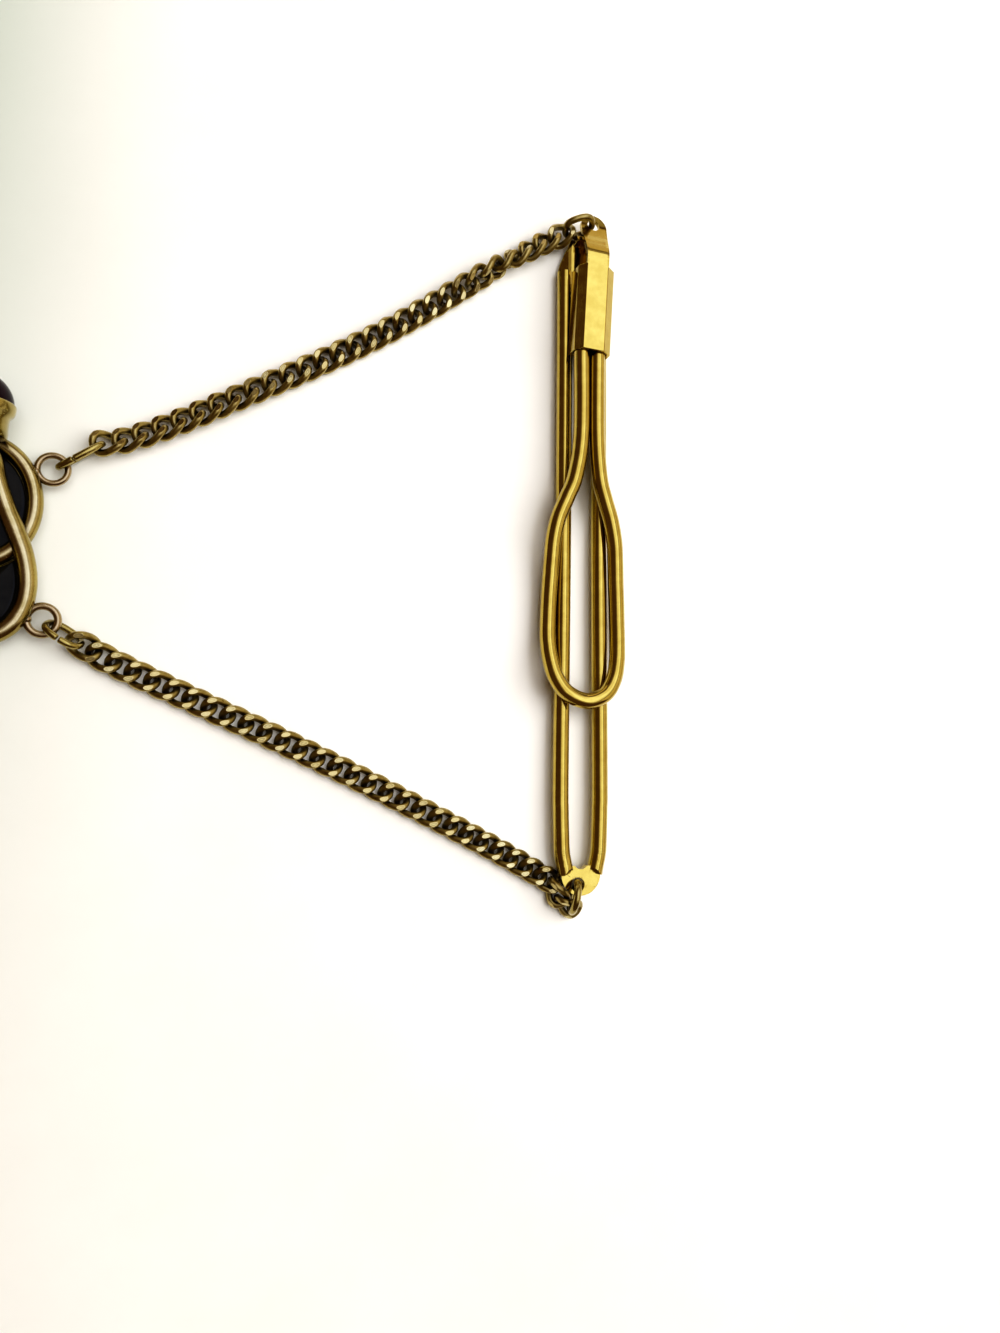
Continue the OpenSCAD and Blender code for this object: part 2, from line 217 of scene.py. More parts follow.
def is_wide(area, other, corners):
    """Whether the larger of two faces is a wide flat one, which keeps its own shading."""
    small, large = sorted((area, other))
    return large > WIDE_RATIO * small and corners > 4 or large > max(DICED_RATIO * small, DICED_AREA)


def mesh_piece(name, parts, nodes, material):
    """One visible piece, which rides on the part's only body."""
    v = row(np.concatenate(parts.v))
    me = bpy.data.meshes.new(name)
    me.from_pydata(v.tolist(), [], parts.f)
    bm = bmesh.new()
    bm.from_mesh(me)
    bmesh.ops.recalc_face_normals(bm, faces=bm.faces)
    area = [f.calc_area() for f in bm.faces]
    bm.faces.index_update()
    for e in bm.edges:
        if len(e.link_faces) != 2:
            continue
        wide = is_wide(*(area[f.index] for f in e.link_faces), max(len(f.verts) for f in e.link_faces))
        angle = e.calc_face_angle(0)
        e.smooth = angle < SHARP_ANGLE and not (wide and angle > FLAT_ANGLE)
    for f in bm.faces:
        f.smooth = True
    bm.to_mesh(me)
    bm.free()
    for key, values in parts.attributes.items():
        me.attributes.new(key, "FLOAT", "POINT").data.foreach_set("value", np.concatenate(values))
    ob = bpy.data.objects.new(name, me)
    bpy.context.scene.collection.objects.link(ob)
    me.materials.append(material)
    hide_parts(*nodes)
    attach(ob, "root")
    return ob


def solid(v, f):
    """A temporary object for the cuts below, in layout millimetres."""
    me = bpy.data.meshes.new("cut")
    me.from_pydata(np.asarray(v, float).tolist(), [], [tuple(x) for x in f])
    bm = bmesh.new()
    bm.from_mesh(me)
    bmesh.ops.recalc_face_normals(bm, faces=bm.faces)
    bm.to_mesh(me)
    bm.free()
    ob = bpy.data.objects.new("cut", me)
    bpy.context.scene.collection.objects.link(ob)
    return ob


def prism(outline, low, high):
    """An upright form over an outline."""
    n = len(outline)
    v = [(x, y, low) for x, y in outline] + [(x, y, high) for x, y in outline]
    f = [(k, (k + 1) % n, n + (k + 1) % n, n + k) for k in range(n)]
    return np.array(v), f + [tuple(range(n - 1, -1, -1)), tuple(range(n, 2 * n))]


def box(x0, x1, y0, y1, z0, z1):
    return prism([(x0, y0), (x1, y0), (x1, y1), (x0, y1)], z0, z1)


def rod(middle, radius, low, high, sides):
    a = 2 * np.pi * np.arange(sides) / sides
    return prism([(middle[0] + radius * math.cos(t), middle[1] + radius * math.sin(t)) for t in a], low, high)


def combine(base, *others):
    """Booleans: each of others is (object, "UNION" or "DIFFERENCE" or "INTERSECT")."""
    for ob, operation in others:
        mod = base.modifiers.new("cut", "BOOLEAN")
        mod.operation, mod.object, mod.solver = operation, ob, "EXACT"
        me = bpy.data.meshes.new_from_object(base.evaluated_get(bpy.context.evaluated_depsgraph_get()))
        base.modifiers.clear()
        base.data = me
        bpy.data.objects.remove(ob)
    return base


def take(ob, bevel, segments, angle):
    """The object's points and faces, with its sharp edges eased, and the object removed."""
    mod = ob.modifiers.new("ease", "BEVEL")
    mod.width, mod.segments, mod.limit_method = bevel, segments, "ANGLE"
    mod.angle_limit = math.radians(angle)
    mod.use_clamp_overlap = True
    me = bpy.data.meshes.new_from_object(ob.evaluated_get(bpy.context.evaluated_depsgraph_get()))
    v = np.array([x.co[:] for x in me.vertices])
    f = [tuple(p.vertices) for p in me.polygons]
    bpy.data.objects.remove(ob)
    return v, f


def dice(v, f, **cuts):
    """Cuts wide faces at the given places along x, y or z, so that shading and the painted shade can vary
    over them.
    """
    bm = bmesh.new()
    verts = [bm.verts.new(p) for p in v]
    for face in f:
        bm.faces.new([verts[i] for i in face])
    for name, places in cuts.items():
        axis = np.eye(3)["xyz".index(name)]
        for x in places:
            bmesh.ops.bisect_plane(bm, geom=bm.verts[:] + bm.edges[:] + bm.faces[:], dist=1e-4,
                                   plane_co=axis * x, plane_no=axis)
    bm.verts.index_update()
    out = np.array([q.co[:] for q in bm.verts]), [tuple(q.index for q in x.verts) for x in bm.faces]
    bm.free()
    return out


# Materials
class Nodes:
    """A short way to write a node material."""

    def __init__(self, name):
        self.material = bpy.data.materials.new(name)
        self.material.use_nodes = True
        self.tree = self.material.node_tree
        self.shader = self.tree.nodes["Principled BSDF"]
        self.place = self.tree.nodes.new("ShaderNodeTexCoord").outputs["Object"]

    def new(self, kind, **settings):
        node = self.tree.nodes.new(kind)
        for key, value in settings.items():
            setattr(node, key, value)
        return node

    def link(self, a, b):
        self.tree.links.new(a, b)

    def put(self, socket, value):
        if isinstance(value, bpy.types.NodeSocket):
            self.link(value, socket)
        else:
            socket.default_value = value

    def noise(self, scale, detail=3.0, rough=0.5, stretch=None):
        node = self.new("ShaderNodeTexNoise")
        node.inputs["Scale"].default_value = scale
        node.inputs["Detail"].default_value = detail
        node.inputs["Roughness"].default_value = rough
        source = self.place
        if stretch:
            mapping = self.new("ShaderNodeMapping")
            mapping.inputs["Scale"].default_value = stretch
            self.link(self.place, mapping.inputs["Vector"])
            source = mapping.outputs["Vector"]
        self.link(source, node.inputs["Vector"])
        return node.outputs["Fac"]

    def attribute(self, name):
        return self.new("ShaderNodeAttribute", attribute_name=name).outputs["Fac"]

    def math(self, operation, a, b):
        node = self.new("ShaderNodeMath", operation=operation)
        self.put(node.inputs[0], a)
        self.put(node.inputs[1], b)
        return node.outputs[0]

    def mix(self, amount, a, b):
        node = self.new("ShaderNodeMix", data_type="RGBA")
        self.put(node.inputs["Factor"], amount)
        self.put(node.inputs["A"], (*a, 1) if isinstance(a, tuple) else a)
        self.put(node.inputs["B"], (*b, 1) if isinstance(b, tuple) else b)
        return node.outputs["Result"]

    def range(self, value, low, high, to_low, to_high):
        node = self.new("ShaderNodeMapRange")
        self.link(value, node.inputs["Value"])
        for key, x in (("From Min", low), ("From Max", high), ("To Min", to_low), ("To Max", to_high)):
            node.inputs[key].default_value = x
        return node.outputs["Result"]

    def bump(self, height, strength, distance, under=None):
        node = self.new("ShaderNodeBump")
        node.inputs["Strength"].default_value = strength
        node.inputs["Distance"].default_value = distance
        self.link(height, node.inputs["Height"])
        if under is not None:
            self.link(under, node.inputs["Normal"])
        return node.outputs["Normal"]

    def lacquer(self, weight, rough):
        """A clear, slightly pale film over the metal."""
        self.shader.inputs["Coat Weight"].default_value = weight
        self.shader.inputs["Coat Roughness"].default_value = rough
        self.shader.inputs["Coat IOR"].default_value = 1.6

    def finish(self, colour, rough, normal=None, metallic=1.0):
        self.put(self.shader.inputs["Base Color"], colour)
        self.put(self.shader.inputs["Roughness"], rough)
        self.shader.inputs["Metallic"].default_value = metallic
        if normal is not None:
            self.link(normal, self.shader.inputs["Normal"])
        return self.material


def gold_plate():
    """Bright gold plate: warm, drawn along Y with faint lines, darkened by painted shade in the hollows and
    rougher there.
    """
    m = Nodes("bright_gold_plate")
    cloud = m.noise(900, 4, 0.6)
    lines = m.noise(2500, 2, 0.5, stretch=(1, 0.02, 1))
    hollow = m.attribute("hollow")
    worn = m.mix(m.range(cloud, 0.35, 0.7, 0, 1), (0.50, 0.37, 0.065), (0.58, 0.455, 0.10))
    # painted shade: dark brown where the metal around shuts a point in
    colour = m.mix(m.range(hollow, 0.15, 0.9, 0, 0.85), worn, (0.17, 0.075, 0.014))
    rough = m.math("ADD", m.range(cloud, 0.3, 0.75, 0.07, 0.15), m.range(hollow, 0.2, 1, 0, 0.12))
    normal = m.bump(lines, 0.05, 0.00002, m.bump(m.noise(350, 2), 0.04, 0.0001))
    m.lacquer(0.4, 0.06)
    return m.finish(colour, rough, normal)


def brass_chain():
    """Chain brass: the filed flats are bright, the round sides tarnished, and painted shade makes the hollows
    nearly black.
    """
    m = Nodes("aged_brass_links")
    cloud = m.noise(1400, 4, 0.65)
    hollow = m.attribute("hollow")
    flat = m.attribute("flat")
    tint = m.attribute("tint")
    sides = m.mix(m.range(cloud, 0.3, 0.7, 0, 1), (0.28, 0.205, 0.045), (0.50, 0.40, 0.13))
    # painted shade: nearly black where the links shut a point in
    sides = m.mix(m.range(hollow, 0.1, 0.75, 0, 0.97), sides, (0.03, 0.015, 0.007))
    core = m.math("MULTIPLY", m.attribute("core"), m.range(cloud, 0.4, 0.6, 0.5, 1))
    flats = m.mix(m.range(tint, 0, 1, 0, 1), (0.57, 0.47, 0.19), (0.63, 0.55, 0.27))
    colour = m.mix(flat, sides, m.mix(core, flats, (0.20, 0.15, 0.04)))
    rough = m.mix(flat, m.range(cloud, 0.3, 0.75, 0.26, 0.42), m.range(cloud, 0.3, 0.75, 0.08, 0.22))
    normal = m.bump(m.noise(5000, 3), 0.12, 0.00003, m.bump(m.noise(900, 2), 0.10, 0.0001))
    m.lacquer(0.5, 0.12)
    return m.finish(colour, rough, normal)


def brass_ornament():
    """Olive gilt brass, with a painted highlight along the top of the wires and painted shade at the joints.
    """
    m = Nodes("aged_brass_knot")
    cloud = m.noise(420, 5, 0.65)
    fine = m.noise(2600, 3, 0.6)
    hollow = m.attribute("hollow")
    silver = m.attribute("silver")
    base = m.mix(m.range(cloud, 0.35, 0.68, 0, 1), (0.29, 0.22, 0.045), (0.48, 0.385, 0.11))
    # painted highlight: a pale strip along the top of the loop wires, broken up by the cloud
    top_highlight = m.math("MULTIPLY", m.attribute("worn"), m.range(cloud, 0.3, 0.55, 0.15, 0.7))
    base = m.mix(top_highlight, base, (0.60, 0.53, 0.34))
    base = m.mix(m.range(silver, 0, 1, 0, 1), base, (0.44, 0.34, 0.20))
    # painted shade: nearly black where the metal around shuts a point in
    colour = m.mix(m.range(hollow, 0.12, 0.8, 0, 0.95), base, (0.04, 0.02, 0.007))
    rough = m.math("ADD", m.range(cloud, 0.3, 0.75, 0.14, 0.27), m.range(fine, 0.3, 0.8, -0.03, 0.08))
    normal = m.bump(fine, 0.10, 0.00004, m.bump(m.noise(260, 3), 0.16, 0.0002))
    m.lacquer(0.6, 0.1)
    return m.finish(colour, rough, normal)


def polished_stone(name, colour_a, colour_b):
    """Nearly black and polished, clouded between two colours."""
    m = Nodes(name)
    cloud = m.noise(700, 5, 0.6)
    colour = m.mix(m.range(cloud, 0.35, 0.7, 0, 1), colour_a, colour_b)
    rough = m.range(m.noise(1800, 4), 0.3, 0.8, 0.05, 0.16)
    m.shader.inputs["IOR"].default_value = 1.45
    m.shader.inputs["Specular IOR Level"].default_value = 0.14
    return m.finish(colour, rough, m.bump(m.noise(500, 2), 0.06, 0.0001), metallic=0.0)


def pale_floor():
    """White, with painted shade of a greenish grey that grows towards the upper left, where the light falls
    off.
    """
    m = Nodes("pale_floor")
    cloud = m.noise(60, 4, 0.6)
    pale = m.mix(m.range(cloud, 0.3, 0.7, 0, 1), (0.84, 0.85, 0.83), (0.88, 0.885, 0.87))
    axes = m.new("ShaderNodeSeparateXYZ")
    m.link(m.place, axes.inputs[0])
    left = m.range(axes.outputs["X"], -0.030, -0.010, 1, 0)
    upper = m.range(axes.outputs["Y"], -0.045, 0.05, 0.25, 0.9)
    # painted shade: the floor turns greenish grey towards the upper left, where the light falls off
    colour = m.mix(m.math("MULTIPLY", m.math("POWER", left, 1.3), upper), pale, (0.37, 0.46, 0.38))
    m.shader.inputs["IOR"].default_value = 1.4
    return m.finish(colour, 0.38, metallic=0.0)


GOLD = gold_plate()
LINKS = brass_chain()
KNOT = brass_ornament()
STONE = polished_stone("black_polished_stone", (0.006, 0.0055, 0.005), (0.014, 0.013, 0.011))
BEAD = polished_stone("dark_polished_bead", (0.007, 0.003, 0.005), (0.018, 0.006, 0.010))


# Clip, back loop
WIRE = 1.45
AXIS = WIRE / 2
WIRE_SIDES = 32
LEGS_MIDDLE = -0.03
# Half the distance between the legs' axes, and Y
LEG = [(1.35, 0.9), (1.5, 1.65), (1.7, 2.6), (1.77, 3.6), (1.85, 6.5), (1.87, 10), (1.73, 31), (1.68, 55.8)]
LEG_FROM, STUB_TO = 2.5, 3.2
DISC = (-0.08, 0.85)
DISC_RADIUS = 1.83
DISC_LOW, DISC_HIGH = 0.33, 1.10
DISC_TOP = 1.62
BAR_HALF, BAR_HEIGHT = 1.6, 1.4
SLOT_HALF, SLOT_END = 0.68, 2.0
HOLE, HOLE_RADIUS = (-0.38, -0.02), 0.64
# The press leaves a round flat over the disc and the legs' ends, with a short slope round it
FLAT_MIDDLE = (-0.02, -0.19, 0)
FLAT_RADIUS, SLOPE_RADIUS, SLOPE_RISE = 1.72, 2.02, 0.4
# Half width and Y of the flattened upper end, then Y and Z of the short wall that closes it
PLATE = [(2.4, 54.6), (2.35, 55.6), (2.2, 56.4), (1.85, 57.4), (1.55, 58.1), (1.2, 58.95)]
PLATE_WALL = [(58.35, 0.4), (58.95, 0.4), (58.95, 1.95), (58.35, 2.25)]
PLATE_LOW, PLATE_HIGH = 0.35, 1.10
PLATE_LEVEL, PLATE_FALL = 1.1, 0.5


def leg_path(side, steps):
    return catmull([(LEGS_MIDDLE + side * x, y, AXIS) for x, y in LEG], steps)


def make_leg(side):
    path = leg_path(side, 10)
    return sweep(path[path[:, 1] > LEG_FROM], WIRE / 2, WIRE_SIDES)


def make_stub(side):
    """The leg's last stretch, which runs into the disc."""
    path = leg_path(side, 6)
    return solid(*sweep(path[path[:, 1] < STUB_TO], WIRE / 2, WIRE_SIDES))


def flat_tool(upside):
    """What the press takes off over the disc, or under it."""
    profile = [(0, DISC_HIGH), (FLAT_RADIUS, DISC_HIGH), (FLAT_RADIUS + 0.06, DISC_HIGH + 0.03),
               (SLOPE_RADIUS, DISC_HIGH + SLOPE_RISE), (SLOPE_RADIUS, 3), (0, 3)]
    v, f = lathe(profile, FLAT_MIDDLE, np.eye(3), 96)
    if upside:
        v = v * [1, 1, -1] + [0, 0, DISC_LOW + DISC_HIGH]
    return solid(v, f)


def make_disc():
    x, y = DISC
    disc = solid(*rod(DISC, DISC_RADIUS, DISC_LOW, DISC_HIGH, 96))
    bar = solid(*box(x - BAR_HALF, x + BAR_HALF, y, y + BAR_HEIGHT, DISC_LOW, DISC_HIGH))
    half_turn = np.linspace(0, math.pi, 32)
    slot = [(x + SLOT_HALF * math.cos(t), SLOT_END - SLOT_HALF * math.sin(t)) for t in half_turn]
    slot += [(x - SLOT_HALF, 5), (x + SLOT_HALF, 5)]
    body = combine(disc, (bar, "UNION"), (solid(*prism(slot, -1, 3)), "DIFFERENCE"),
                   (solid(*box(-3, 3, DISC_TOP, 4, -1, 3)), "DIFFERENCE"),
                   (make_stub(1), "UNION"), (make_stub(-1), "UNION"),
                   (flat_tool(False), "DIFFERENCE"), (flat_tool(True), "DIFFERENCE"),
                   (solid(*rod(HOLE, HOLE_RADIUS, -1, 4, 64)), "DIFFERENCE"))
    v, f = take(body, 0.05, 2, 28)
    return dice(v, f, x=np.arange(-1.8, 1.9, 0.4), y=np.arange(-0.8, 3.2, 0.4))


def make_plate():
    """The flattened upper end: its upper face falls away towards both edges."""
    half = catmull(PLATE, 5)
    outline = [tuple(p) for p in half] + [(-x, y) for x, y in half[::-1]]
    wall, wf = prism(PLATE_WALL, -1, 1)
    end = combine(solid(*prism(outline, PLATE_LOW, PLATE_HIGH)), (solid(wall[:, [2, 0, 1]], wf), "UNION"))
    v, f = take(end, 0.12, 3, 28)
    v, f = dice(v, f, x=(-2.1, -1.8, -1.5, -1.2, -0.9, 0, 0.9, 1.2, 1.5, 1.8, 2.1), y=np.arange(55, 59, 0.5))
    upper = v[:, 2] > (PLATE_LOW + PLATE_HIGH) / 2
    v[:, 2] -= np.where(upper, np.clip(np.abs(v[:, 0]) - PLATE_LEVEL, 0, 2) * PLATE_FALL, 0)
    return v, f


def make_back_loop():
    parts = Parts()
    for v, f in (make_leg(1), make_leg(-1), make_disc(), make_plate()):
        parts.add(clip_pose(v), f)
    return parts


# Clip, front loop
# Y, half the distance between the two sides, rise over the back legs, and shift to the right
FRONT = [(47.2, 0.75, 2.0, -0.06), (40, 0.75, 2.0, -0.07), (36.2, 1.185, 1.78, -0.12),
         (34.2, 1.855, 1.6, -0.18), (32.4, 2.53, 1.42, -0.22), (30.6, 2.93, 1.12, -0.15),
         (28.8, 3.08, 0.83, -0.08), (26.9, 3.18, 0.62, -0.05), (25.2, 3.27, 0.5, -0.03),
         (23.4, 3.33, 0.46, -0.03), (21.6, 3.35, 0.55, -0.05), (19.8, 3.2, 0.9, -0.08),
         (18.1, 2.75, 1.35, -0.13), (16.75, 1.75, 1.56, -0.08)]
FRONT_TIP = (-0.05, 16.1, AXIS + 1.6)
FERRULE_BASE = np.array([-0.05, 47.5, 0.0])
FERRULE_LEAN = 3.0
# Where the two wires lie in the ferrule, and the Y where they end
BORE_X, BORE_Z, BORE_END = 0.75, AXIS + 2.0, 55.2


def make_front_loop():
    sides = {s: [(shift + s * half, y, AXIS + rise) for y, half, rise, shift in FRONT] for s in (1, -1)}
    bend = catmull(sides[1] + [FRONT_TIP] + sides[-1][::-1], 14)
    top = FERRULE_BASE[0] + (BORE_END - FERRULE_BASE[1]) * math.tan(math.radians(FERRULE_LEAN))
    ends = [[(top + s * BORE_X, BORE_END, BORE_Z)] for s in (1, -1)]
    v, f = sweep(np.concatenate([ends[0], bend, ends[1]]), WIRE / 2, WIRE_SIDES)
    return Parts().add(clip_pose(v), f)


# Clip, ferrule and its tongue
# X and Z of the sleeve's outline
SECTION = [(-1.68, 1.6), (-1.60, 2.95), (-1.02, 3.75), (1.0, 3.75), (1.85, 3.05), (1.85, 1.6)]
SLEEVE_LENGTH = 8
BORE_RADIUS = 0.77
# Y and Z of the tongue's upper face, and its half width with Y
TONGUE = [(7.9, 3.75), (8.9, 3.72), (9.6, 3.54), (10.5, 3.07), (11.5, 2.53), (12.5, 2.12), (13.7, 1.85)]
TONGUE_HALF = [(1.0, 7.7), (1.06, 8.2), (1.06, 9.0), (1.12, 10.2), (1.2, 11.4), (1.25, 12.4)]
TONGUE_THICK = 0.38
TONGUE_HOLE, TONGUE_HOLE_RADIUS = (-0.05, 12.58), 0.58


def ferrule_pose(v):
    return clip_pose(np.asarray(v) @ turn_z(-FERRULE_LEAN).T + FERRULE_BASE)


def make_sleeve():
    v, f = prism(SECTION, 0, SLEEVE_LENGTH)
    body = solid(v[:, [0, 2, 1]], f)
    for x in (-BORE_X, BORE_X):
        bore, bf = rod((x, BORE_Z), BORE_RADIUS, -1, 10, 48)
        body = combine(body, (solid(bore[:, [0, 2, 1]], bf), "DIFFERENCE"))
    between = box(-BORE_X, BORE_X, -1, 10, BORE_Z - BORE_RADIUS, BORE_Z + BORE_RADIUS)
    v, f = take(combine(body, (solid(*between), "DIFFERENCE")), 0.07, 3, 25)
    return dice(v, f, y=np.arange(0.5, 8, 0.5))


def make_tongue():
    line = catmull(TONGUE, 6)
    strip = [(y, z) for y, z in line] + [(y - 0.1, z - TONGUE_THICK) for y, z in line[::-1]]
    plate, pf = prism(strip, -2, 2)
    half = catmull(TONGUE_HALF, 5)
    radius, end = TONGUE_HALF[-1]
    arc = [(radius * math.cos(t), end + radius * math.sin(t)) for t in np.linspace(0, math.pi, 40)][1:-1]
    outline = [tuple(p) for p in half] + arc + [(-x, y) for x, y in half[::-1]]
    plate = combine(solid(plate[:, [2, 0, 1]], pf), (solid(*prism(outline, 0, 6)), "INTERSECT"),
                    (solid(*rod(TONGUE_HOLE, TONGUE_HOLE_RADIUS, 0, 6, 48)), "DIFFERENCE"))
    v, f = take(plate, 0.06, 2, 35)
    return dice(v, f, x=(-0.8, -0.4, 0, 0.4, 0.8), y=np.arange(8.1, 13.6, 0.25))


def make_ferrule():
    parts = Parts()
    for v, f in (make_sleeve(), make_tongue()):
        parts.add(ferrule_pose(v), f)
    return parts


# Curb chains
LINK_LENGTH, LINK_WIDTH, LINK_FLAT = 2.38, 1.66, 1.20
LINK_TWIST, LINK_WIRE = 0.385, 0.58
# The source's own link, which sets how high each link lies
SOURCE_TWIST, SOURCE_WIRE = 0.46, 0.58
LEAST_HEIGHT = 0.005


def link_line(twist, count):
    t = 2 * np.pi * np.arange(count) / count
    return np.c_[LINK_LENGTH / 2 * np.cos(t), LINK_WIDTH / 2 * np.sin(t), -twist * np.sin(2 * t)]


def cut_flats(bm):
    """Cuts both faces of the link flat and returns the cut faces."""
    for sign in (1, -1):
        cut = bmesh.ops.bisect_plane(bm, geom=bm.verts[:] + bm.edges[:] + bm.faces[:], dist=1e-5,
                                     plane_co=(0, 0, sign * LINK_FLAT / 2), plane_no=(0, 0, sign),
                                     clear_outer=True)
        rim = [e for e in cut["geom_cut"] if isinstance(e, bmesh.types.BMEdge)]
        bmesh.ops.holes_fill(bm, edges=rim, sides=0)
    bmesh.ops.recalc_face_normals(bm, faces=bm.faces)
    level = [x for x in bm.faces if abs(abs(x.normal.z) - 1) < 1e-3]
    return [x for x in level if abs(abs(x.calc_center_median().z) - LINK_FLAT / 2) < 1e-3]


def link_template():
    """One link, with marks on its filed faces and on the rims of their darker cores."""
    v, f = sweep(link_line(LINK_TWIST, 56), LINK_WIRE / 2, 18, closed=True)
    bm = bmesh.new()
    verts = [bm.verts.new(p) for p in v]
    for face in f:
        bm.faces.new([verts[i] for i in face])
    flats = cut_flats(bm)
    # the rim of a cut face is doubled, so that only the face itself takes the filed finish
    bmesh.ops.inset_individual(bm, faces=flats, thickness=0.02, depth=0.0)
    bmesh.ops.inset_individual(bm, faces=flats, thickness=0.07, depth=0.0)
    rims = [q for x in flats for q in x.verts]
    bmesh.ops.poke(bm, faces=flats)
    bm.verts.index_update()
    marks, cores = np.zeros(len(bm.verts)), np.zeros(len(bm.verts))
    for rim in rims:
        cores[rim.index] = 1
        for edge in rim.link_edges:
            marks[edge.other_vert(rim).index] = 1
    points = np.array([q.co[:] for q in bm.verts])
    faces = [tuple(q.index for q in x.verts) for x in bm.faces]
    bm.free()
    return points, faces, marks, cores


def source_link():
    v, _ = sweep(link_line(SOURCE_TWIST, 14), SOURCE_WIRE / 2, 6, closed=True)
    v[:, 2] = np.clip(v[:, 2], -LINK_FLAT / 2, LINK_FLAT / 2)
    return v


SOURCE_LINK = source_link()
TEMPLATE = link_template()


def link_low(roll):
    """How far the source's link reaches below its middle when it is rolled."""
    a = math.radians(roll)
    return (SOURCE_LINK[:, 1] * math.sin(a) + SOURCE_LINK[:, 2] * math.cos(a)).min()


def lookup(i, table):
    return float(np.interp(i, [t[0] for t in table], [t[1] for t in table]))


def chain_places(start, first, last, headings, steps, rolls, rises):
    """Middle, heading, rise and roll of links first to last, laid as the source lays them.

    Each table has a link's number and the value there: degrees for headings and rolls, millimetres for
    steps and rises.
    """
    p = np.array(start, float)
    out = []
    for i in range(first, last + 1):
        roll = lookup(i, rolls)
        height = 0.01 - link_low(roll) + lookup(i, rises)
        lean = 0.4 * (height - LINK_FLAT / 2)
        heading = (lookup(i, headings) + lookup(i - 1, headings)) / 2
        out.append(((p[0] - lean, p[1], height), heading, 0, roll))
        a = math.radians(lookup(i, headings))
        p = p + lookup(i, steps) * np.array([math.cos(a), math.sin(a)])
    return out


UPPER = chain_places(
    (-38.445, 36.322), 2, 28,
    headings=[(1, 19.8), (2, 24.1), (3, 26.8), (4, 28.6), (6, 30.2), (11, 30.8), (14, 32.1),
              (17, 34.4), (20, 36.3), (22, 36.1), (24, 34), (26, 33), (29, 35)],
    steps=[(21, 1.6), (22, 1.58), (23, 1.555), (25, 1.555), (26, 1.56), (27, 1.6)],
    rolls=[(0, -28), (7, -22), (11, -8), (14, 0), (17, 0), (20, 10), (22, 22), (23, 36), (24, 64),
           (25, 102), (26, 130), (27, 144), (28, 152), (29, 160)],
    rises=[(25, 0), (29, 0.3)])
LOWER = chain_places(
    (-39.954, 18.837), 1, 26,
    headings=[(0, -28.5), (1, -26.7), (3, -24.6), (8, -24.6), (16, -26.9), (22, -27.9), (25, -29.8),
              (26, -31)],
    steps=[(19, 1.6), (20, 1.552)], rolls=[(0, 0)], rises=[(24, 0), (26, 0.1)])
# The last links hang in the connectors, the end link and the jump ring, each at its own tilt
UPPER += [((-40.151, 35.822, 1.052), 16.42, -10.805, -24.285), ((-2.288, 59.194, 1.21), 39.3, 4.3, 172.4)]
LOWER += [((-41.357, 19.69, 0.905), -27.6, -17.3, 8.2), ((-3.091, 0.45, 0.659), -33.62, -3.72, 0.75),
          ((-2.4, -0.653, 1.062), -67, -2.38, 59.24), ((-1.298, -1.821, 1.004), -35.28, -13.26, 53.36)]


def make_chain(places):
    parts = Parts()
    points, faces, marks, cores = TEMPLATE
    for middle, heading, rise, roll in places:
        turn = turn_z(heading) @ turn_y(-rise) @ turn_x(roll)
        laid = points @ turn.T + middle
        laid[:, 2] += max(0.0, LEAST_HEIGHT - laid[:, 2].min())
        parts.add(laid, faces, flat=marks, tint=rng.random(), core=cores * rng.uniform(0.2, 1))
    return parts


# Rings
OVAL_POINTS = 72
OVAL_POWER = 0.8
GAP_HALF = 5
END_LINK_WIRE, CONNECTOR_WIRE, JUMP_WIRE = 0.59, 0.54, 0.66
JUMP_MIDDLE, JUMP_RADIUS = (-0.911, -1.033, 1.575), 1.26
JUMP_TURN = turn_z(-12.08) @ turn_y(90 - 10.93)


def oval(middle, along, across, half_length, half_width, start, end):
    """A line round an oval that is a little square, from start to end in degrees, and the way it faces."""
    u = unit(along)
    v = unit(np.asarray(across, float) - u * np.dot(u, across))
    t = np.radians(np.linspace(start, end, OVAL_POINTS, endpoint=end - start < 360))
    c, s = np.cos(t), np.sin(t)
    return np.asarray(middle) + np.outer(half_length * np.sign(c) * np.abs(c) ** OVAL_POWER, u) \
        + np.outer(half_width * np.sign(s) * np.abs(s) ** OVAL_POWER, v), np.cross(u, v)


def even(path, count, closed):
    """The same line with points evenly apart."""
    p = np.vstack([path, path[:1]]) if closed else path
    d = np.r_[0, np.cumsum(np.linalg.norm(np.diff(p, axis=0), axis=1))]
    s = np.linspace(0, d[-1], count, endpoint=not closed)
    return np.c_[[np.interp(s, d, p[:, k]) for k in range(3)]].T


def make_end_link():
    path, up = oval((-0.791, 59.855, 1.848), (0.918, 0.306, 0.254), (-0.358, 0.357, 0.863), 1.3, 0.9, 0, 360)
    return Parts().add(*sweep(even(path, OVAL_POINTS, True), END_LINK_WIRE / 2, 20, up, closed=True))


def make_connector(middle, along, across, half_length, half_width, gap_at):
    """An oval ring with a cut in it, at gap_at degrees round the oval."""
    start, end = gap_at + GAP_HALF, gap_at + 360 - GAP_HALF
    path, up = oval(middle, along, across, half_length, half_width, start, end)
    return Parts().add(*sweep(even(path, OVAL_POINTS, False), CONNECTOR_WIRE / 2, 20, up, round_ends=True))


def make_connector_upper():
    return make_connector((-42.13, 34.566, 1.1), (0.831, 0.553, 0.065), (0.083, -0.238, 0.968),
                          1.85, 0.825, 103)


def make_connector_lower():
    return make_connector((-42.78, 20.48, 1.31), (0.84, -0.54, 0), (-0.27, -0.42, 0.86),
                          1.396, 0.947, 90)


def make_jump_ring():
    path = circle_line(JUMP_RADIUS, 96) @ JUMP_TURN.T + JUMP_MIDDLE
    return Parts().add(*sweep(path, JUMP_WIRE / 2, 24, JUMP_TURN @ [0, 0, 1], closed=True))


